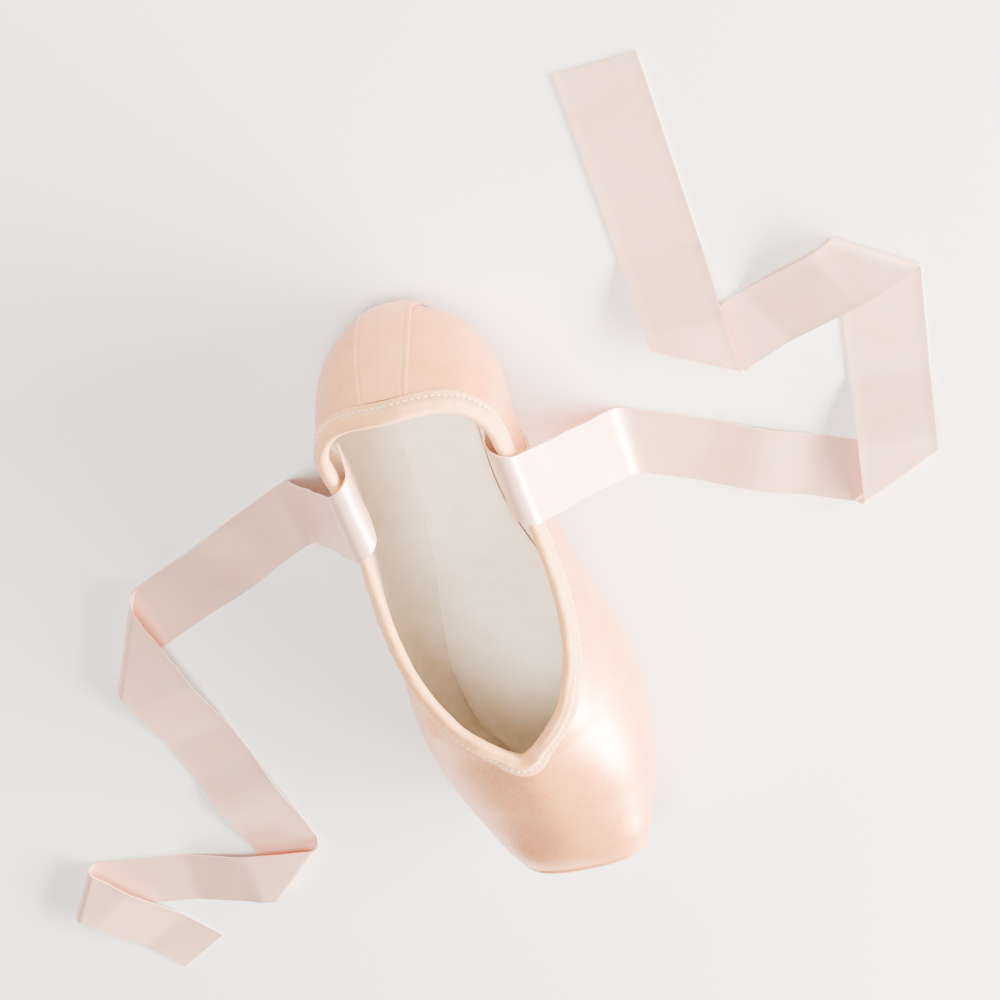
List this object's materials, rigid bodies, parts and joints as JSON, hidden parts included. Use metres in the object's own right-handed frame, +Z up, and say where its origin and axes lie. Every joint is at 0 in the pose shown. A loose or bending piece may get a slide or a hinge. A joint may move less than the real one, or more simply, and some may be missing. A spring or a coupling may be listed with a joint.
{
  "type": "pointe shoe",
  "caption": "Soft-sided dance shoe with a stiffened flat-ended toe box, a low open collar, a narrow leather outsole and loose ribbons.",
  "frame": {"origin": "on the floor under the ball of the foot, at the middle of the outsole's flat tread", "axes": "+Z up, -Y towards the toe platform, +X to the wearer's left side seen with the toe forward"},
  "size_m": [0.3592, 0.3481, 0.0617],
  "materials": {
    "satin_upper": "satin weave, glossy along the weft",
    "sole_leather": "smooth tan leather, matt",
    "sock": "plain cotton, matt",
    "binding_tape": "fine cotton tape, matt",
    "ribbon_satin": "soft satin ribbon, low sheen"
  },
  "bodies": {
    "root": {"upper": "satin_upper", "outsole": "sole_leather", "insole": "sock", "binding": "binding_tape", "heel_strip": "satin_upper", "seam_tape_left": "satin_upper", "seam_tape_right": "satin_upper", "ribbon_left": "ribbon_satin", "ribbon_right": "ribbon_satin"}
  },
  "joints": []
}
